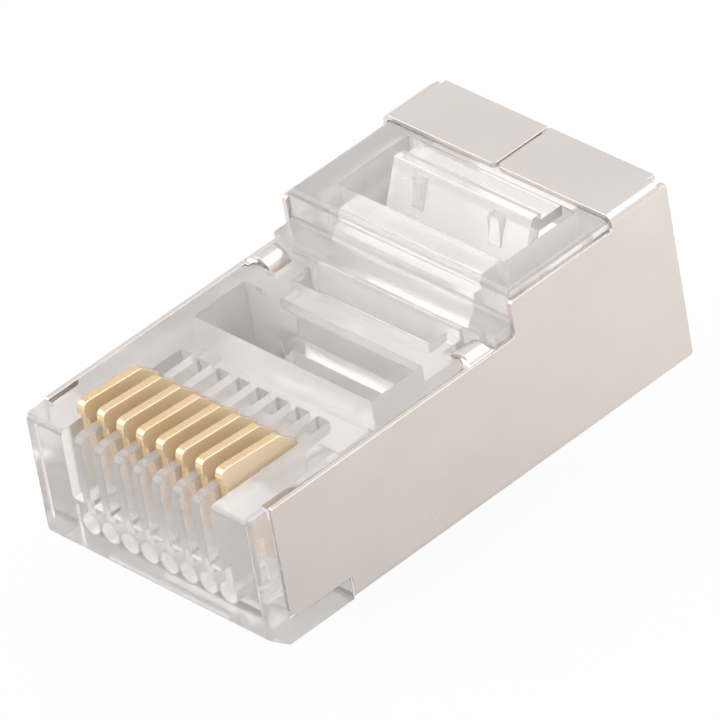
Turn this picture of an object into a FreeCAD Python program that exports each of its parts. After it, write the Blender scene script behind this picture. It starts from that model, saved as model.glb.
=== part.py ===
"""Shielded eight-position modular plug, before it is crimped onto a cable.

Frame: X is the width, Y runs from the nose (0) to the cable end, Z is up with
the contacts on top and the latch underneath.  The origin lies in the middle of
the width, on the nose plane, at the level of the shield's underside.
"""
import FreeCAD, Part
import math
import os

V = FreeCAD.Vector

# ---- overall sizes -------------------------------------------------------
length = 21.5            # nose to the shield's rear edge
width = 11.78            # over the shield
height = 7.98            # shield underside to the top of its flaps
deck_height = 5.91       # level of the comb and the deck
beyond = 1.0             # cutting tools run this far past what they cut

# ---- shield --------------------------------------------------------------
sheet = 0.20             # nickel-plated sheet
bend = 0.38              # outer bend radius
shield_gap = 0.03        # shield to plastic
shield_front = 1.12      # front edge of the side panels
skirt_height = 1.06      # side panels start this high at the nose
skirt_length = 3.07      # how far the raised part of the lower edge runs
skirt_round = 0.55       # corner of the front edge and the raised lower edge
side_top_drop = 0.56     # side panels' upper edge below the flaps' top
shield_step = 0.12       # the panels' step, ahead of the shoulder
step_round = 0.20
panel_round = 0.12       # other corners of the side panels
flap_length = 2.80       # flaps, measured from the rear edge
seam = 0.12              # gap where the flaps meet
flap_corner = 0.22       # plan radius of each flap's front corner at the seam
relief_width = 0.55      # cut-out at each flap's rear bend
relief_length = 0.35

# ---- ears folded over the deck --------------------------------------------
ear_length = 0.95        # along Y, at the crest
ear_flare = 0.27         # widening at the root, each way
ear_radius = 0.66        # outer radius of the curl
ear_rise = 0.28          # crest above the deck
ear_tuck = 0.25          # straight end of the curl, down into the deck
ear_root = 0.60          # overlap of the curl's root with the side panel
ear_ahead = 1.29         # ear's rear end, ahead of the shoulder
ear_gap = 0.06           # ear to its pocket, along Y
ear_recess = 0.25        # open room on the inner side of the curl

# ---- nose and comb -------------------------------------------------------
nose_inset = 0.11        # nose side, inside the shield's outer face
nose_corner = 0.35       # plan radius of the nose's front corners
nose_edge = 0.25         # radius of the nose's top edge
lead_in_height = 0.76    # bevel under the nose
lead_in_length = 0.94
lead_in_round = 0.28
positions = 8
pitch = 1.02
slot_width = 0.60        # open slots of the comb
slot_end = 6.00          # where the slots run out on the deck
slot_rear_gap = 0.12     # contact to the slot's rear wall
slot_ramp_drop = 0.96    # foot of the slots' rear ramp, below the deck
slot_ramp_rise = 0.35
comb_round = 0.45        # rounded front corner of the ribs
deck_notch = 0.25        # relief beside each shield corner, across the deck
deck_notch_length = 1.50
deck_notch_depth = 0.50
deck_corner = 0.60       # plan radius of the deck's corner ahead of each ear

# ---- contacts ------------------------------------------------------------
blade = 0.36             # contact thickness
blade_front = 0.88
blade_length = 3.60
blade_proud = 0.92       # above the deck before crimping
crimp_travel = 0.88
press_gap = 0.17         # head to the slot's floor once crimped
guide_gap = 0.03         # contact to its guide, each side
stem_height = 1.33       # head's underside above the tips' points
head_round = 0.32        # radius of the head's front top corner
head_front = 0.60        # height of the head's contact face
head_step = 0.14         # undercut below the contact face
head_slope = 0.20        # the top's fall towards its rear corner
head_slope_end = 0.70    # rear corner, ahead of the contact's rear
tail_proud = 0.12        # rear face starts this far above the deck
small_round = 0.06
stem_inset_front = 0.50
stem_inset_rear = 0.42
tips = 3
tip_height = 0.55
tip_bite = 0.12          # tips above the conductors' middle once crimped

# ---- conductor channels and ducts ----------------------------------------
channel_radius = 0.44
channel_level = 1.72
front_wall = 0.95
duct_start = 6.20
duct_overlap = 0.60      # channels run this far into the duct
duct_margin = 0.05       # duct's side wall, inside the comb's outer slots
duct_room = 0.15         # duct's ceiling above the channels
throat_behind = 0.55     # duct opens into the cavity, behind the ledge's front
throat_overlap = 0.40
floor = 0.95             # inside floor level
cavity_width = 7.30      # room for the cable's jacket
roof = 1.00              # plastic over the cavity
cavity_wall = 0.35       # between the cavity and the shoulder face
mouth_bevel = 0.45
mouth_depth = 0.70
plastic_short = 0.20     # plastic ends this far inside the shield

# ---- conductor clamp window ----------------------------------------------
clamp_front = 7.70
clamp_length = 2.57
clamp_width = 9.18
clamp_shift = -0.33      # window's middle, beside the plug's middle
clamp_sump = 0.54        # window's floor beside the duct, below the duct's ceiling
clamp_bar_width = 7.20
clamp_bar_drop = 1.76    # bar's upper edge below the deck
clamp_bar_height = 1.40  # upper edge to pressing edge
clamp_bar_web = 0.85     # height of the bar's root on the window's rear wall
clamp_bar_lean = 0.25    # forward lean of its face, per millimetre of height
clamp_bar_taper = 0.55   # narrowing at each end, per millimetre of height
clamp_bar_edge = 0.50    # thickness at the pressing edge
clamp_bar_root = 0.60    # how far the root reaches behind that wall's face

# ---- groove, ledge and shoulder (measured from the rear edge) -------------
shoulder_from_rear = 7.95
shoulder_round = 0.35
shoulder_foot = 0.25     # inside radius at the shoulder's foot
ledge_height = 0.50      # ledge above the deck
ledge_length = 1.35
groove_length = 0.90
groove_depth = 0.90
groove_width = 7.10
edge_round = 0.18

# ---- jacket clamp window --------------------------------------------------
lip = 1.37               # bar between the shoulder face and the window
window_width = 8.60
window_wall = 0.25       # rear wall ahead of the flaps' edge
window_overlap = 1.20    # window's cut below the cavity's ceiling
plate_width = 7.10       # jacket clamp plate
plate_ahead = 1.67       # its upper edge ahead of the flaps
plate_height = 1.98      # upper edge to pressing edge
plate_lean = 0.445       # forward lean, per millimetre of height
plate_thick = 0.50
web_drop = 0.42          # web that hangs the plate on the rear wall, below the plastic's top
web_thick = 0.40
post_spacing = 4.00
post_width = 0.60
post_depth = 0.40
post_height = 1.15
post_draft = 0.15        # forward lean of the posts' faces over their height

# ---- latch ----------------------------------------------------------------
hinge_y = 1.72
hinge_radius = 0.42
hinge_gap = 0.04
latch_width = 6.20
handle_width = 3.25
latch_thick = 0.85
handle_thick = 0.65      # at the handle's end
latch_root_top = 0.15    # arm's top at the root, below the body
latch_root_thick = 1.05
latch_stop = 8.35        # shoulders that catch in the jack, from the nose
latch_end = 14.80
latch_kink = 1.50        # top of the arm at the shoulders, below the body
latch_drop = 2.92        # top of the handle's end below the body
latch_sweep = 1.50       # radius of the arm's bend at the shoulders
latch_round = 0.30       # radius of its other bends and plan corners

# ---- derived --------------------------------------------------------------
half = width / 2.0
body_half = half - sheet - shield_gap
nose_half = half - nose_inset
plastic_top = height - sheet - shield_gap
plastic_floor = sheet + shield_gap
plastic_rear = length - plastic_short
plastic_edge = bend - sheet + shield_gap
side_top = height - side_top_drop
flap_start = length - flap_length
shoulder = length - shoulder_from_rear
ledge_top = deck_height + ledge_height
ledge_front = shoulder - ledge_length
groove_front = ledge_front - groove_length
skirt_end = shield_front + skirt_length
window_front = shoulder + lip
window_rear = flap_start - window_wall
comb_half = (positions - 1) * pitch / 2.0 + slot_width / 2.0
blade_rear = blade_front + blade_length
blade_top = deck_height + blade_proud
tip_level = channel_level + crimp_travel + tip_bite
head_under = tip_level + stem_height
slot_floor = head_under - crimp_travel - press_gap
slot_rear = blade_rear + slot_rear_gap
slot_ramp_foot = deck_height - slot_ramp_drop
cavity_top = plastic_top - roof
window_floor = cavity_top - window_overlap
plate_foot = height - plate_height
web_level = plastic_top - web_drop
clamp_rear = clamp_front + clamp_length
clamp_bar_top = deck_height - clamp_bar_drop
clamp_bar_foot = clamp_bar_top - clamp_bar_height
duct_ceiling = clamp_bar_top - clamp_bar_web
clamp_floor = duct_ceiling - clamp_sump
ear_rear = shoulder - ear_ahead
ear_front = ear_rear - ear_length
ear_x = half - ear_radius
ear_z = deck_height + ear_rise - ear_radius


def box(x0, x1, y0, y1, z0, z1):
    return Part.makeBox(x1 - x0, y1 - y0, z1 - z0, V(x0, y0, z0))


def outline(points, place):
    """Closed wire through (a, b) or (a, b, radius) corners, placed in space."""
    n = len(points)
    corners = []
    for i, p in enumerate(points):
        a = V(p[0], p[1], 0)
        r = p[2] if len(p) > 2 else 0.0
        before = V(points[i - 1][0], points[i - 1][1], 0)
        after = V(points[(i + 1) % n][0], points[(i + 1) % n][1], 0)
        if r <= 0:
            corners.append((a, a, None))
            continue
        u = (before - a).normalize()
        w = (after - a).normalize()
        turn = u.getAngle(w)
        back = r / math.tan(turn / 2.0)
        mid = a + (u + w).normalize() * (r / math.sin(turn / 2.0) - r)
        corners.append((a + u * back, a + w * back, mid))
    edges = []
    for i, (start, end, mid) in enumerate(corners):
        if mid is not None:
            edges.append(Part.Arc(place(start), place(mid), place(end)).toShape())
        nxt = corners[(i + 1) % n][0]
        if (nxt - end).Length > 1e-7:
            edges.append(Part.LineSegment(place(end), place(nxt)).toShape())
    return Part.Wire(edges)


def along_x(points, x0, x1):
    """Profile in (y, z) swept from x0 to x1."""
    wire = outline(points, lambda p: V(x0, p.x, p.y))
    return Part.Face(wire).extrude(V(x1 - x0, 0, 0))


def along_y(points, y0, y1):
    """Profile in (x, z) swept from y0 to y1."""
    wire = outline(points, lambda p: V(p.x, y0, p.y))
    return Part.Face(wire).extrude(V(0, y1 - y0, 0))


def along_z(points, z0, z1):
    """Profile in (x, y) swept from z0 to z1."""
    wire = outline(points, lambda p: V(p.x, p.y, z0))
    return Part.Face(wire).extrude(V(0, 0, z1 - z0))


def fused(shapes):
    """One solid from several that touch or overlap."""
    return shapes[0].multiFuse(shapes[1:]).removeSplitter() if len(shapes) > 1 else shapes[0]


def position_x(i):
    return (i - (positions - 1) / 2.0) * pitch


def bottom_lead_in():
    return [(0, lead_in_height, lead_in_round), (lead_in_length, 0, lead_in_round)]


# ---- housing --------------------------------------------------------------
def housing_block():
    """Nose, deck, ledge and raised rear as one block, with the shield's rebates."""
    side = bottom_lead_in() + [
        (skirt_end, 0), (skirt_end, plastic_floor), (plastic_rear, plastic_floor),
        (plastic_rear, plastic_top), (shoulder, plastic_top, shoulder_round),
        (shoulder, ledge_top, shoulder_foot), (ledge_front, ledge_top, edge_round),
        (ledge_front, deck_height), (0, deck_height, nose_edge)]
    e = plastic_edge
    section = along_y([(-body_half, plastic_floor, e), (body_half, plastic_floor, e),
                       (body_half, plastic_top, e), (-body_half, plastic_top, e)],
                      skirt_end, plastic_rear)
    ahead = box(-body_half, body_half, 0, skirt_end, 0, plastic_top)
    core = along_x(side, -body_half, body_half).common(fused([section, ahead]))
    nose_side = bottom_lead_in() + [
        (skirt_end - shield_gap, 0), (skirt_end - shield_gap, skirt_height - shield_gap, step_round),
        (shield_front - shield_gap, skirt_height - shield_gap),
        (shield_front - shield_gap, deck_height), (0, deck_height, nose_edge)]
    plan = [(-nose_half, 0, nose_corner), (nose_half, 0, nose_corner),
            (nose_half, skirt_end), (-nose_half, skirt_end)]
    nose = along_x(nose_side, -nose_half, nose_half).common(along_z(plan, 0, deck_height))
    return fused([core, nose])


def comb_cutters():
    """Slots, contact guides and conductor channels, one set per position."""
    slot = [(-beyond, slot_floor), (slot_rear, slot_floor, small_round),
            (slot_rear, slot_ramp_foot - slot_ramp_rise), (slot_end, slot_ramp_foot, edge_round),
            (slot_end, deck_height + beyond), (-beyond, deck_height + beyond)]
    guide = blade / 2 + guide_gap
    cutters = []
    for i in range(positions):
        x = position_x(i)
        cutters.append(along_x(slot, x - slot_width / 2, x + slot_width / 2))
        cutters.append(box(x - guide, x + guide,
                           blade_front + stem_inset_front - guide_gap,
                           blade_rear - stem_inset_rear + guide_gap,
                           channel_level, slot_floor + shield_gap))
        cutters.append(Part.makeCylinder(channel_radius, duct_start + duct_overlap - front_wall,
                                         V(x, front_wall, channel_level), V(0, 1, 0)))
    return cutters


def comb_rounding():
    """Tool that rounds the front corner of the ribs."""
    keep = [(0, 0), (slot_end, 0), (slot_end, deck_height), (0, deck_height, comb_round)]
    front = box(-comb_half, comb_half, -beyond, comb_round, deck_height - comb_round, deck_height + beyond)
    return front.cut(along_x(keep, -comb_half, comb_half))


def duct():
    """Conductor duct and jacket cavity, open at the cable end."""
    w = comb_half - duct_margin
    low = channel_level + channel_radius + duct_room
    throat = ledge_front + throat_behind
    narrow = along_x([(duct_start, floor), (throat + throat_overlap, floor),
                      (throat + throat_overlap, duct_ceiling), (clamp_front, duct_ceiling),
                      (clamp_front, low), (duct_start, low)], -w, w)
    c = cavity_width / 2
    jacket = along_x([(throat, floor), (length + beyond, floor), (length + beyond, cavity_top),
                      (shoulder + cavity_wall, cavity_top), (throat, duct_ceiling)], -c, c)
    b = mouth_bevel
    wide = [(-c - b, floor - b / 2), (c + b, floor - b / 2),
            (c + b, cavity_top + b / 2), (-c - b, cavity_top + b / 2)]
    narrow_end = [(-c, floor), (c, floor), (c, cavity_top), (-c, cavity_top)]
    mouth = Part.makeLoft([
        outline(wide, lambda p: V(p.x, plastic_rear, p.y)),
        outline(narrow_end, lambda p: V(p.x, plastic_rear - mouth_depth, p.y))], True)
    return [narrow, jacket, mouth]


def clamp_window():
    """Window over the conductors, open down to the duct."""
    w = clamp_width / 2
    return box(clamp_shift - w, clamp_shift + w, clamp_front, clamp_rear,
               clamp_floor, deck_height + beyond)


def clamp_bar():
    """Conductor clamp bar: a wedge hung low on the window's rear wall."""
    b = clamp_bar_width / 2
    edge = clamp_rear - clamp_bar_height * clamp_bar_lean
    wedge = along_x([(clamp_rear, clamp_bar_top), (edge, clamp_bar_foot),
                     (edge + clamp_bar_edge, clamp_bar_foot), (clamp_rear + clamp_bar_root, duct_ceiling),
                     (clamp_rear + clamp_bar_root, clamp_bar_top)], -b, b)
    tip = b - clamp_bar_height * clamp_bar_taper
    return wedge.common(along_y([(-b, clamp_bar_top), (-tip, clamp_bar_foot),
                                 (tip, clamp_bar_foot), (b, clamp_bar_top)], 0, length))


def groove():
    g = groove_width / 2
    return box(-g, g, groove_front, ledge_front, deck_height - groove_depth, ledge_top + beyond)


def mirrored(shape):
    return shape.mirror(V(0, 0, 0), V(1, 0, 0))


def ear_ring(y0, y1, grow=0.0):
    """Half ring of a folded ear, grown on both faces by a clearance."""
    outer = ear_radius + grow
    inner = ear_radius - sheet - grow
    foot = ear_z - ear_tuck - grow
    root = ear_z - ear_root

    def at(r, angle):
        return V(ear_x + r * math.cos(angle), y0, ear_z + r * math.sin(angle))

    def line(x0, z0, x1, z1):
        return Part.LineSegment(V(x0, y0, z0), V(x1, y0, z1)).toShape()

    edges = [
        Part.Arc(at(outer, 0), at(outer, math.pi / 2), at(outer, math.pi)).toShape(),
        line(ear_x - outer, ear_z, ear_x - outer, foot),
        line(ear_x - outer, foot, ear_x - inner, foot),
        line(ear_x - inner, foot, ear_x - inner, ear_z),
        Part.Arc(at(inner, math.pi), at(inner, math.pi / 2), at(inner, 0)).toShape(),
        line(ear_x + inner, ear_z, ear_x + inner, root),
        line(ear_x + inner, root, ear_x + outer, root),
        line(ear_x + outer, root, ear_x + outer, ear_z)]
    return Part.Face(Part.Wire(edges)).extrude(V(0, y1 - y0, 0))


def outer_half(y0, y1):
    """Block over the curl's outer half, from its crest line to past the shield."""
    return box(ear_x, half + beyond, y0, y1, 0, height)


def ear_pockets():
    """Room for the ears in the deck, with the deck's corner rounded ahead of each."""
    core = Part.makeCylinder(ear_radius - sheet - shield_gap, length, V(ear_x, 0, ear_z), V(0, 1, 0))
    y0, y1 = ear_front - ear_gap, ear_rear + ear_gap
    root0, root1 = y0 - ear_flare, y1 + ear_flare
    inside = ear_x - ear_radius - ear_recess
    above = box(inside, half + beyond, y0, y1, ear_z, ledge_top + beyond).cut(core)
    recess = box(inside, ear_x - ear_radius, y0, y1, ear_z - ear_tuck - shield_gap, ear_z)
    behind = box(ear_x, half + beyond, y1, root1, ear_z, ledge_top + beyond).cut(core)
    root = ear_ring(root0, root1, shield_gap).common(outer_half(root0, root1))
    r = deck_corner
    corner = along_z([(half + beyond, y0 - 2 * r), (body_half, y0 - 2 * r), (body_half, y0, r),
                      (body_half - 2 * r, y0), (body_half - 2 * r, y0 + ear_gap),
                      (half + beyond, y0 + ear_gap)],
                     deck_height - deck_notch_depth, deck_height + beyond).cut(core)
    pocket = fused([ear_ring(y0, y1, shield_gap), recess, root, above, behind, corner])
    return [pocket, mirrored(pocket)]


def deck_notches():
    """Slant-ended reliefs in the deck's edges, behind the nose."""
    front = shield_front - shield_gap
    rear = shield_front + deck_notch_length
    inner = body_half - deck_notch
    notch = along_z([(half + beyond, front), (inner, front), (inner, rear - deck_notch),
                     (body_half, rear), (half + beyond, rear)],
                    deck_height - deck_notch_depth, deck_height + beyond)
    return [notch, mirrored(notch)]


def jacket_window():
    """Window over the cable's jacket, with the lip's rear edge rounded."""
    w = window_width / 2
    return along_x([(window_front, window_floor), (window_rear, window_floor),
                    (window_rear, plastic_top + beyond), (window_front - edge_round, plastic_top + beyond),
                    (window_front - edge_round, plastic_top), (window_front, plastic_top, edge_round)], -w, w)


def jacket_clamp():
    """Leaning clamp plate on a web from the window's rear wall, with two posts."""
    b = plate_width / 2
    t = plate_thick

    def face(z):
        return flap_start - plate_ahead - (height - z) * plate_lean

    under = web_level + web_thick
    plate = along_x([(face(plate_foot), plate_foot, small_round), (face(height), height, small_round),
                     (face(height) + t, height, small_round), (face(under) + t, under),
                     (window_rear + window_wall, under), (window_rear + window_wall, web_level),
                     (face(web_level) + t, web_level), (face(plate_foot) + t, plate_foot)], -b, b)
    foot = plastic_top - post_height
    front = face(plastic_top) - post_depth
    rib = [(front, plastic_top, small_round), (face(plastic_top) + t / 2, plastic_top),
           (face(foot) + t / 2, foot), (front - post_draft, foot)]
    posts = []
    for side in (-1, 1):
        x = side * post_spacing / 2
        posts.append(along_x(rib, x - post_width / 2, x + post_width / 2))
    return [plate] + posts


def latch_seat():
    """Round seat of the latch's root under the nose."""
    s = latch_width / 2 + hinge_gap
    return Part.makeCylinder(hinge_radius + hinge_gap, 2 * s, V(-s, hinge_y, 0), V(1, 0, 0))


def make_housing():
    block = housing_block()
    cutters = comb_cutters() + duct() + ear_pockets() + deck_notches()
    cutters += [clamp_window(), groove(), jacket_window(), latch_seat()]
    body = block.cut(fused(cutters)).cut(comb_rounding())
    return fused([body, clamp_bar()] + jacket_clamp())


# ---- contacts ---------------------------------------------------------------
def make_contact(i):
    """Gold-plated blade: rounded head, undercut below it, stem with piercing tips."""
    front, rear, top, under = blade_front, blade_rear, blade_top, head_under
    stem_front, stem_rear = front + stem_inset_front, rear - stem_inset_rear
    step = (stem_rear - stem_front) / tips
    teeth = []
    for k in range(tips):
        root = stem_rear - k * step
        teeth += [(root, tip_level + tip_height), (root - step / 2, tip_level)]
    teeth.append((stem_front, tip_level + tip_height))
    neck = front + head_step
    profile = [(front, top, head_round), (rear - head_slope_end, top - head_slope, small_round),
               (rear, deck_height + tail_proud, small_round), (rear, under, small_round),
               (stem_rear, under)] + teeth + [
               (stem_front, under), (neck, under, small_round),
               (neck, top - head_front - head_step, small_round), (front, top - head_front, small_round)]
    x = position_x(i)
    return along_x(profile, x - blade / 2, x + blade / 2)


# ---- shield -----------------------------------------------------------------
def ear():
    """Folded ear: a curl over the deck, flared where it leaves the side panel."""
    front, rear, low = ear_front, ear_rear, deck_height
    root0, root1 = front - ear_flare, rear + ear_flare
    flare = along_x([(root0, 0), (root1, 0), (root1, low), (rear, low, ear_flare), (rear, height),
                     (front, height), (front, low, ear_flare), (root0, low)], ear_x, half + beyond)
    return fused([ear_ring(front, rear), ear_ring(root0, root1).common(flare)])


def make_shield():
    """One folded sheet: floor, two sides, two rear flaps and two ears."""
    inner_bend = bend - sheet
    outer = along_y([(-half, 0, bend), (half, 0, bend), (half, height, bend), (-half, height, bend)],
                    shield_front, length)
    x, low, top = half - sheet, sheet, height - sheet
    inner = along_y([(-x, low, inner_bend), (x, low, inner_bend), (x, top, inner_bend),
                     (-x, top, inner_bend)], shield_front - beyond, length + beyond)
    step = shoulder - shield_step
    wide = half + beyond
    sides = along_x([(shield_front, skirt_height, skirt_round), (skirt_end, skirt_height, panel_round),
                     (skirt_end, -beyond), (length + beyond, -beyond), (length + beyond, height + beyond),
                     (flap_start, height + beyond), (flap_start, side_top, panel_round),
                     (step, side_top, step_round), (step, deck_height, step_round),
                     (shield_front, deck_height, panel_round)], -wide, wide)
    under_flaps = top - shield_gap
    edge, r = seam / 2, flap_corner
    split = along_z([(-edge - 2 * r, flap_start - beyond), (-edge - 2 * r, flap_start),
                     (-edge, flap_start, r), (-edge, length + beyond), (edge, length + beyond),
                     (edge, flap_start, r), (edge + 2 * r, flap_start),
                     (edge + 2 * r, flap_start - beyond)], under_flaps, height + beyond)
    relief = box(half - relief_width, wide, length - relief_length, length + beyond,
                 under_flaps, height + beyond)
    shell = outer.cut(inner).common(sides).cut(fused([split, relief, mirrored(relief)]))
    return fused([shell, ear(), mirrored(ear())])


# ---- latch --------------------------------------------------------------------
def make_latch():
    """Sprung latch: round root, wide arm with catch shoulders, narrow handle."""
    w, h = latch_width / 2, handle_width / 2
    root = Part.makeCylinder(hinge_radius, latch_width, V(-w, hinge_y, 0), V(1, 0, 0))
    top0, top1, top2 = -latch_root_top, -latch_kink, -latch_drop
    neck = hinge_y + 2 * hinge_radius
    side = [(hinge_y - hinge_radius / 2, top0), (hinge_y + hinge_radius / 2, top0),
            (neck, top0 - hinge_radius / 2, latch_round), (latch_stop, top1, latch_sweep),
            (latch_end, top2, latch_round), (latch_end, top2 - handle_thick, latch_round),
            (latch_stop, top1 - latch_thick, latch_sweep),
            (neck, top0 - latch_root_thick, 2 * latch_round)]
    arm = along_x(side, -w, w)
    r = latch_round
    plan = [(-w, 0), (w, 0), (w, latch_stop, r / 2), (h, latch_stop, r), (h, latch_end, r),
            (-h, latch_end, r), (-h, latch_stop, r), (-w, latch_stop, r / 2)]
    body = arm.common(along_z(plan, top2 - beyond, 0))
    return fused([body, root])


def main():
    os.makedirs("parts", exist_ok=True)
    nodes = {"housing": make_housing(), "shield": make_shield(), "latch": make_latch()}
    for i in range(positions):
        nodes["contact_%d" % (i + 1)] = make_contact(i)
    for name, shape in nodes.items():
        solids = shape.Solids
        print(name, "solids", len(solids), "valid", shape.isValid(), "volume %.2f" % shape.Volume)
        (solids[0] if len(solids) == 1 else shape).exportStep("parts/%s.step" % name)


main()
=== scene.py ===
"""Finishes, light and camera for the shielded eight-position modular plug.

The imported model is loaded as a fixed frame, in metres: X is the width, Y runs from the
nose to the cable end and Z is up, contacts on top and latch underneath.  This script
dresses its pieces and builds the studio round them.
"""

import logging
import math
from dataclasses import dataclass
from enum import Enum

import bpy
import numpy as np
from mathutils import Matrix, Vector


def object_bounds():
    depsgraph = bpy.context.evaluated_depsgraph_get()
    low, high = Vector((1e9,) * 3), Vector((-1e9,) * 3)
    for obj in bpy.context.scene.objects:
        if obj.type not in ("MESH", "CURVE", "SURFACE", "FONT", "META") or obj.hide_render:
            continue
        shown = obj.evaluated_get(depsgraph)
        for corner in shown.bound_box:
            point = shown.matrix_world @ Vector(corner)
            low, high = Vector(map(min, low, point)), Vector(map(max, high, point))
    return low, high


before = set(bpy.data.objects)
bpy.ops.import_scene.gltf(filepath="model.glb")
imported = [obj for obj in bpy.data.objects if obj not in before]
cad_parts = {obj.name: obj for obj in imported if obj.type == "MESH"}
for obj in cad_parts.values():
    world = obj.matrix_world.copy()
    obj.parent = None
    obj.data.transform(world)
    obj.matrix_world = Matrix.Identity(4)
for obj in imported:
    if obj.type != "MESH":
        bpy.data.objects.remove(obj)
FRAME_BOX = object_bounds()
log = logging.getLogger("plug")

Node = bpy.types.Node
Socket = bpy.types.NodeSocket
Colour = tuple[float, float, float, float]
Point = tuple[float, float, float]
Range = tuple[float, float]

MM = 0.001
FULL: Range = (0.0, 1.0)
WHITE: Colour = (1.0, 1.0, 1.0, 1.0)
NOISE_MIDDLE = 0.5
BOUNCES = 24        # light crosses many walls of the clear moulding


def away(azimuth_deg: float, elevation_deg: float) -> Vector:
    """Direction away from the plug, with azimuth 0 off its nose and 90 off its +X side.

    Args:
        azimuth_deg: turn round the plug, in degrees.
        elevation_deg: rise above the level, in degrees.

    Returns:
        A unit vector.
    """
    turn, rise = math.radians(azimuth_deg), math.radians(elevation_deg)
    return Vector((math.sin(turn) * math.cos(rise), -math.cos(turn) * math.cos(rise), math.sin(rise)))


# ---- node trees -------------------------------------------------------------
class Carries(Enum):
    """What an output of a node group carries."""

    VALUE = "NodeSocketFloat"
    NORMAL = "NodeSocketVector"


class Tree:
    """A node tree being wired, in a material, a world or a shared group."""

    COLOUR_A, COLOUR_B, MIXED = 6, 7, 2     # places of a Mix node's colour sockets

    def __init__(self, tree: bpy.types.NodeTree) -> None:
        """Keep the tree that the new nodes go into."""
        self.tree = tree

    @classmethod
    def emptied(cls, owner: bpy.types.Material | bpy.types.World) -> "Tree":
        """Start a material's or a world's tree afresh.

        Args:
            owner: the material or world.

        Returns:
            Its tree, with no node in it.
        """
        owner.use_nodes = True
        owner.node_tree.nodes.clear()
        return cls(owner.node_tree)

    def add(self, kind: str, settings: dict | None = None, **values: object) -> Node:
        """Add one node, with its settings and its inputs.

        Args:
            kind: node type without the ShaderNode prefix, or the full name.
            settings: attributes of the node itself.
            **values: inputs by name, with underscores for spaces; a socket is linked.

        Returns:
            The new node.
        """
        name = kind if kind.startswith("Node") else "ShaderNode" + kind
        node = self.tree.nodes.new(name)
        for key, value in (settings or {}).items():
            setattr(node, key, value)
        for key, value in values.items():
            self.feed(node.inputs[key.replace("_", " ")], value)
        return node

    def feed(self, socket: Socket, value: object) -> None:
        """Link a socket to another one, or set its value.

        Args:
            socket: input socket.
            value: output socket, number, colour or vector; None leaves it alone.
        """
        if isinstance(value, Socket):
            self.tree.links.new(value, socket)
        elif value is not None:
            socket.default_value = value

    def place(self, group: bpy.types.NodeTree, **values: object) -> Node:
        """Place a shared group, with its own values for the group's inputs."""
        return self.add("Group", {"node_tree": group}, **values)

    def math(self, operation: str, a: object, b: object = None) -> Socket:
        """One step of arithmetic.

        Args:
            operation: Blender's name of the operation.
            a: first number or socket.
            b: second number or socket, if the operation has one.

        Returns:
            The result's socket.
        """
        node = self.add("Math", {"operation": operation})
        self.feed(node.inputs[0], a)
        self.feed(node.inputs[1], b)
        return node.outputs[0]

    def nudge(self, value: object, mask: object, amount: object) -> Socket:
        """Value plus the mask times the amount."""
        return self.math("ADD", value, self.math("MULTIPLY", mask, amount))

    def span(self, value: object, reads: Range, gives: Range = FULL) -> Socket:
        """Carry a value from one range to another, clamped at its ends.

        Args:
            value: number or socket.
            reads: the range that the value is read in.
            gives: results at that range's start and end.

        Returns:
            The result's socket.
        """
        low, high = reads
        to_low, to_high = gives
        node = self.add("MapRange", None, Value=value, From_Min=low, From_Max=high,
                        To_Min=to_low, To_Max=to_high)
        return node.outputs["Result"]

    def blend(self, factor: object, a: object, b: object) -> Socket:
        """Mix two colours.

        Args:
            factor: share of the second colour.
            a: first colour.
            b: second colour.

        Returns:
            The mixed colour's socket.
        """
        node = self.add("Mix", {"data_type": "RGBA"})
        self.feed(node.inputs[0], factor)
        self.feed(node.inputs[self.COLOUR_A], a)
        self.feed(node.inputs[self.COLOUR_B], b)
        return node.outputs[self.MIXED]

    def choose(self, factor: object, first: Node, second: Node) -> Node:
        """Mix two shaders.

        Args:
            factor: share of the second shader.
            first: node of the first shader.
            second: node of the second shader.

        Returns:
            The node of the mixed shader.
        """
        node = self.add("MixShader")
        for socket, value in zip(node.inputs, (factor, first.outputs[0], second.outputs[0])):
            self.feed(socket, value)
        return node


def shared_group(name: str, inputs: tuple[str, ...],
                 outputs: dict[str, Carries]) -> tuple[bpy.types.NodeTree, Tree, Node, Node]:
    """Start a node group that several materials use.

    Args:
        name: the group's name.
        inputs: names of its inputs, all numbers.
        outputs: what each output carries, by name.

    Returns:
        The group, a Tree on it, its input node and its output node.
    """
    group = bpy.data.node_groups.new(name, "ShaderNodeTree")
    for label in inputs:
        group.interface.new_socket(label, in_out="INPUT", socket_type=Carries.VALUE.value)
    for label, kind in outputs.items():
        group.interface.new_socket(label, in_out="OUTPUT", socket_type=kind.value)
    tree = Tree(group)
    return group, tree, tree.add("NodeGroupInput"), tree.add("NodeGroupOutput")


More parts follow.
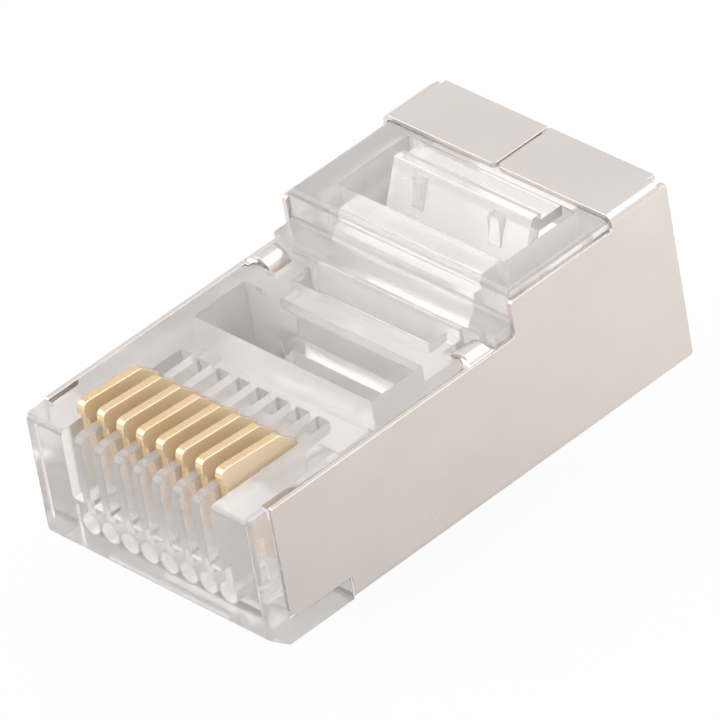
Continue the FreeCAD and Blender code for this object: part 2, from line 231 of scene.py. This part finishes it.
@dataclass
class Effects:
    """Node groups that the finishes share, each built once."""

    noise_range: Range = (0.3, 0.7)
    cloud_height: float = 0.6
    scratch_runs: tuple[Point, Point] = ((1.0, 0.05, 1.6), (0.09, 1.0, 0.8))
    scratch_bend: float = 0.4
    scratch_width: float = 0.08
    patch_scale: Point = (0.7, 0.7, 0.7)
    patch_range: Range = (0.55, 0.7)
    edge_samples: int = 6
    edge_turn: Range = (0.995, 0.85)

    def __post_init__(self) -> None:
        """Build every group."""
        self.grain = self.grain_group()
        self.scratches = self.scratch_group()
        self.edges = self.edge_group()

    @staticmethod
    def noise(tree: Tree, repeats: object, stretch: Point = (1.0, 1.0, 1.0), **look: float) -> Socket:
        """Noise on Object coordinates.

        Args:
            tree: tree to wire in.
            repeats: repeats for each metre.
            stretch: extra scale along each axis.
            **look: the noise's Detail, Roughness and Distortion.

        Returns:
            The noise's socket.
        """
        coordinates = tree.add("TexCoord")
        stretched = tree.add("VectorMath", {"operation": "MULTIPLY"})
        tree.feed(stretched.inputs[0], coordinates.outputs["Object"])
        tree.feed(stretched.inputs[1], stretch)
        scaled = tree.add("VectorMath", {"operation": "SCALE"}, Scale=repeats)
        tree.feed(scaled.inputs[0], stretched.outputs[0])
        return tree.add("TexNoise", None, Vector=scaled.outputs[0], Scale=1.0, **look).outputs[0]

    def grain_group(self) -> bpy.types.NodeTree:
        """Fine even grain over slow cloudiness, as on plated or moulded surfaces.

        Returns:
            Group with outputs Mask (0 to 1), Cloud (0 to 1) and Height.
        """
        group, tree, entry, leave = shared_group(
            "surface_grain", ("Fine Scale", "Cloud Scale"),
            {"Mask": Carries.VALUE, "Cloud": Carries.VALUE, "Height": Carries.VALUE})
        fine = self.noise(tree, entry.outputs["Fine Scale"], Detail=3.0, Roughness=0.6)
        cloud = self.noise(tree, entry.outputs["Cloud Scale"], Detail=2.0, Roughness=0.5)
        tree.feed(leave.inputs["Mask"], tree.span(fine, self.noise_range))
        tree.feed(leave.inputs["Cloud"], tree.span(cloud, self.noise_range))
        tree.feed(leave.inputs["Height"], tree.nudge(fine, cloud, self.cloud_height))
        return group

    def scratch_group(self) -> bpy.types.NodeTree:
        """Short handling scratches in two directions, thin and only in patches.

        A scratch is where a stretched noise crosses its middle.

        Returns:
            Group with output Mask, 1 in a scratch.
        """
        group, tree, entry, leave = shared_group(
            "handling_scratches", ("Scale", "Share"), {"Mask": Carries.VALUE})
        repeats = entry.outputs["Scale"]
        width = tree.math("MULTIPLY", entry.outputs["Share"], self.scratch_width)
        lines = []
        for run in self.scratch_runs:
            noise = self.noise(tree, repeats, run, Detail=1.0, Distortion=self.scratch_bend)
            off_middle = tree.math("ABSOLUTE", tree.math("SUBTRACT", noise, NOISE_MIDDLE))
            lines.append(tree.math("LESS_THAN", off_middle, width))
        patches = tree.span(self.noise(tree, repeats, self.patch_scale, Detail=0.0), self.patch_range)
        tree.feed(leave.inputs["Mask"], tree.math("MULTIPLY", tree.math("MAXIMUM", *lines), patches))
        return group

    def edge_group(self) -> bpy.types.NodeTree:
        """Rounded normals at edges, and a mask of where they turn.

        Returns:
            Group with outputs Mask (1 on an edge) and Normal.
        """
        group, tree, entry, leave = shared_group(
            "rounded_edges", ("Radius",), {"Mask": Carries.VALUE, "Normal": Carries.NORMAL})
        bevel = tree.add("Bevel", {"samples": self.edge_samples}, Radius=entry.outputs["Radius"])
        flat = tree.add("NewGeometry")
        turn = tree.add("VectorMath", {"operation": "DOT_PRODUCT"})
        tree.feed(turn.inputs[0], bevel.outputs[0])
        tree.feed(turn.inputs[1], flat.outputs["Normal"])
        tree.feed(leave.inputs["Mask"], tree.span(turn.outputs["Value"], self.edge_turn))
        tree.feed(leave.inputs["Normal"], bevel.outputs[0])
        return group


# ---- finishes -----------------------------------------------------------------
class Texture(Enum):
    """What a finish's roughness and relief follow, as outputs of the grain group."""

    GRAIN = ("Mask", "Height")
    FLOW = ("Cloud", "Cloud")

    def __init__(self, roughness: str, relief: str) -> None:
        """Name the two outputs."""
        self.roughness = roughness
        self.relief = relief


@dataclass(frozen=True)
class Scratches:
    """Handling scratches: their scale, the share they cover and what they do to roughness."""

    repeats: float
    share: float
    change: float


@dataclass(frozen=True)
class Surface:
    """The tree of one material, with the shared effects placed in it."""

    tree: Tree
    effects: Effects
    grain: Node
    edge: Node

    @property
    def cloud(self) -> Socket:
        """Slow drift over the surface, 0 to 1."""
        return self.grain.outputs["Cloud"]

    @property
    def rim(self) -> Socket:
        """Mask of the edges, 1 where the surface turns."""
        return self.edge.outputs["Mask"]


@dataclass(frozen=True)
class Finish:
    """Base of the finishes: grain, worn edges and relief.

    Grain and clouds repeat so many times a metre.  Edge radius and depth are in metres.
    Swing is how far grain moves roughness, and edge_change what an edge adds to it.
    """

    name: str
    texture: Texture
    grain: float
    clouds: float
    dullness: float
    swing: Range
    edge_radius: float
    edge_change: float
    relief: float
    depth: float
    scratches: Scratches | None = None

    def material(self, effects: Effects) -> bpy.types.Material:
        """Build the material.

        Args:
            effects: shared node groups.

        Returns:
            The material.
        """
        made = bpy.data.materials.new(self.name)
        tree = Tree.emptied(made)
        surface = Surface(tree, effects,
                          tree.place(effects.grain, Fine_Scale=self.grain, Cloud_Scale=self.clouds),
                          tree.place(effects.edges, Radius=self.edge_radius))
        shader = tree.add("BsdfPrincipled")
        self.paint(surface, shader)
        height = surface.grain.outputs[self.texture.relief]
        bump = tree.add("Bump", None, Strength=self.relief, Distance=self.depth, Height=height,
                        Normal=surface.edge.outputs["Normal"])
        tree.feed(shader.inputs["Normal"], bump.outputs[0])
        tree.add("OutputMaterial", None, Surface=self.substance(tree, shader).outputs[0])
        return made

    def roughness(self, surface: Surface) -> Socket:
        """Roughness that follows the grain and changes on edges and in scratches.

        Args:
            surface: the material's tree and effects.

        Returns:
            The roughness's socket.
        """
        tree = surface.tree
        least, most = self.swing
        grain = surface.grain.outputs[self.texture.roughness]
        rough = tree.span(grain, FULL, (self.dullness + least, self.dullness + most))
        rough = tree.nudge(rough, surface.rim, self.edge_change)
        if self.scratches is None:
            return rough
        lines = tree.place(surface.effects.scratches, Scale=self.scratches.repeats,
                           Share=self.scratches.share)
        return tree.nudge(rough, lines.outputs["Mask"], self.scratches.change)

    def paint(self, surface: Surface, shader: Node) -> None:
        """Wire the shader's colour and roughness; each finish has its own."""
        raise NotImplementedError

    def substance(self, tree: Tree, shader: Node) -> Node:
        """Make the shader a metal's, unless the finish says otherwise."""
        shader.inputs["Metallic"].default_value = 1.0
        return shader


@dataclass(frozen=True)
class ClearPlastic(Finish):
    """Clear moulded polycarbonate, faintly warm, with the soft flow marks of moulding."""

    name: str = "clear_polycarbonate"
    texture: Texture = Texture.FLOW
    grain: float = 5200.0
    clouds: float = 260.0
    dullness: float = 0.10
    swing: Range = (0.0, 0.05)
    edge_radius: float = 0.00005
    edge_change: float = 0.05
    relief: float = 0.03
    depth: float = 0.00004
    scratches: Scratches = Scratches(700.0, 0.05, 0.10)
    tint: Colour = (1.0, 0.981, 0.970, 1.0)
    flow_tint: Colour = (0.992, 0.968, 0.955, 1.0)
    ior: float = 1.585
    clearness: float = 0.76
    passed: float = 0.92

    def paint(self, surface: Surface, shader: Node) -> None:
        """Wire the tint, which drifts with the flow, and the roughness.

        Args:
            surface: the material's tree and effects.
            shader: its Principled shader.
        """
        tree = surface.tree
        tree.feed(shader.inputs["Base Color"], tree.blend(surface.cloud, self.tint, self.flow_tint))
        tree.feed(shader.inputs["Roughness"], self.roughness(surface))

    def substance(self, tree: Tree, shader: Node) -> Node:
        """Make the shader clear, and let lamps through so that its shadow is pale.

        Args:
            tree: the material's tree.
            shader: its Principled shader.

        Returns:
            The node of the clear shader.
        """
        shader.inputs["Transmission Weight"].default_value = self.clearness
        shader.inputs["IOR"].default_value = self.ior
        passing = tree.add("BsdfTransparent", None, Color=(self.passed, self.passed, self.passed, 1.0))
        return tree.choose(tree.add("LightPath").outputs["Is Shadow Ray"], shader, passing)


@dataclass(frozen=True)
class NickelPlate(Finish):
    """Satin nickel plating on rolled sheet, with a painted sheen on its edges."""

    name: str = "satin_nickel"
    texture: Texture = Texture.GRAIN
    grain: float = 11000.0
    clouds: float = 300.0
    dullness: float = 0.30
    swing: Range = (-0.03, 0.04)
    edge_radius: float = 0.00005
    edge_change: float = -0.12
    relief: float = 0.06
    depth: float = 0.00001
    scratches: Scratches = Scratches(500.0, 0.03, -0.06)
    plate: Colour = (0.775, 0.725, 0.69, 1.0)
    shade: Colour = (0.745, 0.695, 0.66, 1.0)
    # paler colour on the edges: a painted sheen, the thin bright line of light along the sheet's edges
    painted_edge_sheen: Colour = (0.90, 0.87, 0.84, 1.0)

    def paint(self, surface: Surface, shader: Node) -> None:
        """Wire the plate's colour, cloudy and paler on edges as a painted sheen, and the roughness.

        Args:
            surface: the material's tree and effects.
            shader: its Principled shader.
        """
        tree = surface.tree
        colour = tree.blend(surface.cloud, self.plate, self.shade)
        # edges take the painted sheen
        tree.feed(shader.inputs["Base Color"], tree.blend(surface.rim, colour, self.painted_edge_sheen))
        tree.feed(shader.inputs["Roughness"], self.roughness(surface))


@dataclass(frozen=True)
class GoldPlate(Finish):
    """Thin gold over nickel on a stamped blade: polished crest, duller sheared sides."""

    name: str = "contact_gold_plate"
    texture: Texture = Texture.GRAIN
    grain: float = 9000.0
    clouds: float = 900.0
    dullness: float = 0.24
    swing: Range = (-0.04, 0.05)
    edge_radius: float = 0.00007
    edge_change: float = -0.08
    relief: float = 0.12
    depth: float = 0.00001
    gold: Colour = (0.90, 0.64, 0.36, 1.0)
    worn: Colour = (0.90, 0.69, 0.44, 1.0)
    # thin flash gold of the sheared sides, painted paler as light: it stands in for light that reaches
    # between the blades
    flash_and_painted_light: Colour = (1.0, 0.85, 0.64, 1.0)
    # near-white colour on the edges: a painted highlight
    painted_edge_highlight: Colour = (1.0, 0.95, 0.80, 1.0)
    sheared: float = 0.32
    side_facing: Range = (0.6, 0.9)

    def paint(self, surface: Surface, shader: Node) -> None:
        """Wire gold on the crest, a thin flash painted paler on the sheared sides, and a painted
        highlight on the edges.

        A side is where the normal points along X.

        Args:
            surface: the material's tree and effects.
            shader: its Principled shader.
        """
        tree = surface.tree
        facing = tree.add("SeparateXYZ", None, Vector=tree.add("TexCoord").outputs["Normal"])
        side = tree.span(tree.math("ABSOLUTE", facing.outputs["X"]), self.side_facing)
        colour = tree.blend(surface.cloud, self.gold, self.worn)
        # sides take the flash, painted paler as light between the blades
        colour = tree.blend(side, colour, self.flash_and_painted_light)
        # edges take the painted highlight
        tree.feed(shader.inputs["Base Color"], tree.blend(surface.rim, colour, self.painted_edge_highlight))
        tree.feed(shader.inputs["Roughness"], tree.nudge(self.roughness(surface), side, self.sheared))


# ---- pieces ---------------------------------------------------------------------
class Slot(Enum):
    """Material slots of a dressed node."""

    MAIN = 0
    ZONE = 1


@dataclass(frozen=True)
class Zone:
    """Leaning box of the model, in millimetres, whose facets take a finish of their own.

    A point lies in the box when (x, y - lean * z, z) is between the two corners.
    """

    low: Point
    high: Point
    lean: float = 0.0

    def slots(self, mesh: bpy.types.Mesh) -> np.ndarray:
        """Slot of each facet: those with their middle in the box take the zone's.

        Args:
            mesh: the node's mesh.

        Returns:
            One slot number for each facet.
        """
        middles = np.empty(len(mesh.polygons) * 3)
        mesh.polygons.foreach_get("center", middles)
        middles = middles.reshape(-1, 3) / MM
        middles[:, 1] -= self.lean * middles[:, 2]
        inside = np.all((middles > self.low) & (middles < self.high), axis=1)
        return np.where(inside, Slot.ZONE.value, Slot.MAIN.value).astype(np.int32)


@dataclass(frozen=True)
class Piece:
    """One node of the model and how it is dressed."""

    node: str
    zone: Zone | None = None

    def dress(self, material: bpy.types.Material, zoned: bpy.types.Material | None = None) -> None:
        """Give the node its finish, and its zone another one.

        Args:
            material: finish of the whole node.
            zoned: finish of the facets in the node's zone.
        """
        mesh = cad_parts[self.node].data
        mesh.materials.clear()
        mesh.materials.append(material)
        if self.zone is not None and zoned is not None:
            mesh.materials.append(zoned)
            mesh.polygons.foreach_set("material_index", self.zone.slots(mesh))
            mesh.update()
        log.info("%s: %s, %d faces", self.node, material.name, len(mesh.polygons))


@dataclass
class Plug:
    """The whole plug: its clear mouldings, folded shield and eight contacts."""

    contacts: int = 8
    plastic: ClearPlastic = ClearPlastic()
    matt: ClearPlastic = ClearPlastic(name="matt_polycarbonate", dullness=0.26, clearness=0.38)
    clamp_face: Zone = Zone((-3.62, 13.44, 5.90), (3.62, 13.56, 8.10), lean=0.445)
    nickel: NickelPlate = NickelPlate()
    gold: GoldPlate = GoldPlate()

    def dress(self, effects: Effects) -> None:
        """Dress every node.

        Args:
            effects: shared node groups.
        """
        plastic = self.plastic.material(effects)
        Piece("housing", self.clamp_face).dress(plastic, self.matt.material(effects))
        Piece("latch").dress(plastic)
        Piece("shield").dress(self.nickel.material(effects))
        gold = self.gold.material(effects)
        for number in range(1, self.contacts + 1):
            Piece(f"contact_{number}").dress(gold)


# ---- studio ---------------------------------------------------------------------
@dataclass(frozen=True)
class Softbox:
    """A rectangular lamp aimed at the plug: angles in degrees, sizes in metres, power in watts."""

    name: str
    azimuth: float
    elevation: float
    distance: float
    size: tuple[float, float]
    power: float

    def build(self, aim: Vector) -> None:
        """Make the lamp.

        Args:
            aim: the point it faces.
        """
        back = away(self.azimuth, self.elevation)
        lamp = bpy.data.lights.new(self.name, "AREA")
        lamp.shape = "RECTANGLE"
        lamp.size, lamp.size_y = self.size
        lamp.energy = self.power
        holder = bpy.data.objects.new(self.name, lamp)
        holder.location = aim + back * self.distance
        holder.rotation_mode = "QUATERNION"
        holder.rotation_quaternion = (-back).to_track_quat("-Z", "Y")
        bpy.context.scene.collection.objects.link(holder)


@dataclass
class Sweep:
    """White floor that stays white to the eye and keeps a share of the plug's shadow.

    On the plug's +X side, what metal mirrors of the floor carries a painted warm tint and a
    painted shadow: warmer, dim at the nose and brighter towards the rear.
    """

    half: float = 2.0
    gap: float = 0.02 * MM
    paint: Colour = (0.86, 0.86, 0.86, 1.0)
    roughness: float = 0.9
    white: float = 1.0
    glow: float = 0.94
    mirrored_glow: float = 0.60
    # painted reflection on the plug's +X side: a warm tint, and a painted shadow that is dim at the
    # nose and brighter towards the rear
    painted_warm_reflection: Colour = (1.0, 0.965, 0.935, 1.0)
    painted_shade_side: Range = (0.0, 0.006)
    along: Range = (0.0, 0.036)
    painted_shade_fade: Range = (0.56, 1.08)

    def build(self, level: float) -> None:
        """Lay the sweep just under the plug.

        Args:
            level: height of the plug's lowest point.
        """
        h = self.half
        z = level - self.gap
        mesh = bpy.data.meshes.new("studio_floor")
        mesh.from_pydata([(-h, -h, z), (h, -h, z), (h, h, z), (-h, h, z)], [], [(0, 1, 2, 3)])
        floor = bpy.data.objects.new("studio_floor", mesh)
        bpy.context.scene.collection.objects.link(floor)
        mesh.materials.append(self.material())

    def material(self) -> bpy.types.Material:
        """Matt paint under the eye's white, and nothing when seen from below.

        Returns:
            The material.
        """
        made = bpy.data.materials.new("white_sweep")
        tree = Tree.emptied(made)
        matt = tree.add("BsdfPrincipled", None, Base_Color=self.paint, Roughness=self.roughness,
                        Specular_IOR_Level=0.0)
        path = tree.add("LightPath")
        glossy = path.outputs["Is Glossy Ray"]
        seen = tree.math("MAXIMUM", path.outputs["Is Camera Ray"], path.outputs["Is Transmission Ray"])
        share = tree.math("MAXIMUM", tree.math("MULTIPLY", seen, self.glow),
                          tree.math("MULTIPLY", glossy, self.mirrored_glow))
        mixed = tree.choose(share, matt, self.emission(tree, glossy))
        below = tree.add("NewGeometry").outputs["Backfacing"]
        both = tree.choose(below, mixed, tree.add("BsdfTransparent"))
        tree.add("OutputMaterial", None, Surface=both.outputs[0])
        return made

    def emission(self, tree: Tree, glossy: Socket) -> Node:
        """White light, with a painted warm tint and a painted shadow, dim at the nose, only in what
        metal mirrors.

        Args:
            tree: the material's tree.
            glossy: 1 on a mirrored ray.

        Returns:
            The emission's node.
        """
        place = tree.add("SeparateXYZ", None, Vector=tree.add("TexCoord").outputs["Object"])
        painted_shade_side = tree.span(place.outputs["X"], self.painted_shade_side)
        along = tree.span(place.outputs["Y"], self.along, self.painted_shade_fade)
        # painted shadow and painted warm tint, seen only in what metal mirrors beside the plug
        change = tree.math("MULTIPLY", painted_shade_side, tree.math("SUBTRACT", along, self.white))
        painted_tone = tree.blend(tree.math("MULTIPLY", painted_shade_side, glossy), WHITE, self.painted_warm_reflection)
        return tree.add("Emission", None, Color=painted_tone, Strength=tree.nudge(self.white, glossy, change))


@dataclass
class Room:
    """White room: bright above, a little grey round the horizon, white to the eye.

    Each band is a height, from 0 underfoot to 1 overhead, and its grey.
    """

    foot: Colour = (0.93, 0.92, 0.91, 1.0)
    bands: tuple[tuple[float, float], ...] = ((0.47, 0.97), (0.52, 0.86), (0.60, 0.90), (0.72, 1.0))
    warmth: Point = (1.0, 0.985, 0.97)
    lit: float = 0.98
    mirrored: float = 0.93

    def build(self) -> None:
        """Make the room the scene's world."""
        world = bpy.data.worlds.new("studio_world")
        bpy.context.scene.world = world
        tree = Tree.emptied(world)
        path = tree.add("LightPath")
        walls = self.walls(tree)
        lit = tree.add("Background", None, Color=walls, Strength=self.lit)
        mirrored = tree.add("Background", None, Color=walls, Strength=self.mirrored)
        plain = tree.add("Background", None, Color=WHITE, Strength=1.0)
        looks = tree.math("MAXIMUM", path.outputs["Is Glossy Ray"], path.outputs["Is Transmission Ray"])
        shown = tree.choose(looks, lit, mirrored)
        whole = tree.choose(path.outputs["Is Camera Ray"], shown, plain)
        tree.add("OutputWorld", None, Surface=whole.outputs[0])

    def walls(self, tree: Tree) -> Socket:
        """Colour of the room by height.

        Args:
            tree: the world's tree.

        Returns:
            The colour's socket.
        """
        parts = tree.add("SeparateXYZ", None, Vector=tree.add("TexCoord").outputs["Generated"])
        ramp = tree.add("ValToRGB", None, Fac=tree.span(parts.outputs["Z"], (-1.0, 1.0)))
        stops = ramp.color_ramp.elements
        stops[0].color = self.foot
        stops[1].color = WHITE
        for height, grey in self.bands:
            stops.new(height).color = (*(grey * share for share in self.warmth), 1.0)
        return ramp.outputs[0]


@dataclass
class Studio:
    """White sweep and room, with three softboxes."""

    sweep: Sweep
    room: Room
    lamps: tuple[Softbox, ...] = (
        Softbox("key_softbox", -48.0, 34.0, 0.90, (0.62, 0.60), 2.00),
        Softbox("top_softbox", 150.0, 62.0, 0.60, (0.50, 0.40), 0.86),
        Softbox("side_softbox", 95.0, 20.0, 0.60, (0.30, 0.30), 0.43),
    )

    def build(self, low: Vector, high: Vector) -> None:
        """Build the sweep, the room and the lamps.

        Args:
            low: lowest corner of the plug.
            high: highest corner of the plug.
        """
        self.sweep.build(low.z)
        self.room.build()
        for lamp in self.lamps:
            lamp.build((low + high) / 2)
        log.info("studio: %d softboxes over a white sweep", len(self.lamps))


@dataclass
class ViewPoint:
    """Where the camera looks, from what side and how far, its roll and its lens."""

    aim_mm: Point = (-0.034, 10.969, 3.950)
    azimuth: float = 51.427
    elevation: float = 35.312
    distance: float = 0.40515
    roll: float = 10.314
    lens_mm: float = 563.56
    sensor_mm: float = 36.0
    clip: Range = (0.01, 10.0)

    def build(self) -> None:
        """Make the camera the scene's own."""
        back = away(self.azimuth, self.elevation)
        level = Vector((0, 0, 1)).cross(back).normalized()
        upright = back.cross(level)
        roll = math.radians(self.roll)
        up = upright * math.cos(roll) + level * math.sin(roll)
        right = up.cross(back).normalized()
        camera = bpy.data.cameras.new("camera")
        camera.lens, camera.sensor_width = self.lens_mm, self.sensor_mm
        camera.clip_start, camera.clip_end = self.clip
        holder = bpy.data.objects.new("camera", camera)
        turn = Matrix((right, up, back)).transposed()
        place = Vector(self.aim_mm) * MM + back * self.distance
        holder.matrix_world = Matrix.Translation(place) @ turn.to_4x4()
        bpy.context.scene.collection.objects.link(holder)
        bpy.context.scene.camera = holder
        log.info("camera at %.3f m", self.distance)


def main() -> None:
    """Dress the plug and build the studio."""
    logging.basicConfig(level=logging.INFO, format="%(name)s: %(message)s")
    Plug().dress(Effects())
    Studio(Sweep(), Room()).build(*FRAME_BOX)
    ViewPoint().build()
    scene = bpy.context.scene
    scene.view_settings.view_transform = "Standard"
    scene.cycles.max_bounces = BOUNCES
    scene.cycles.transmission_bounces = BOUNCES
    scene.cycles.transparent_max_bounces = BOUNCES


if __name__ == "__main__":
    main()
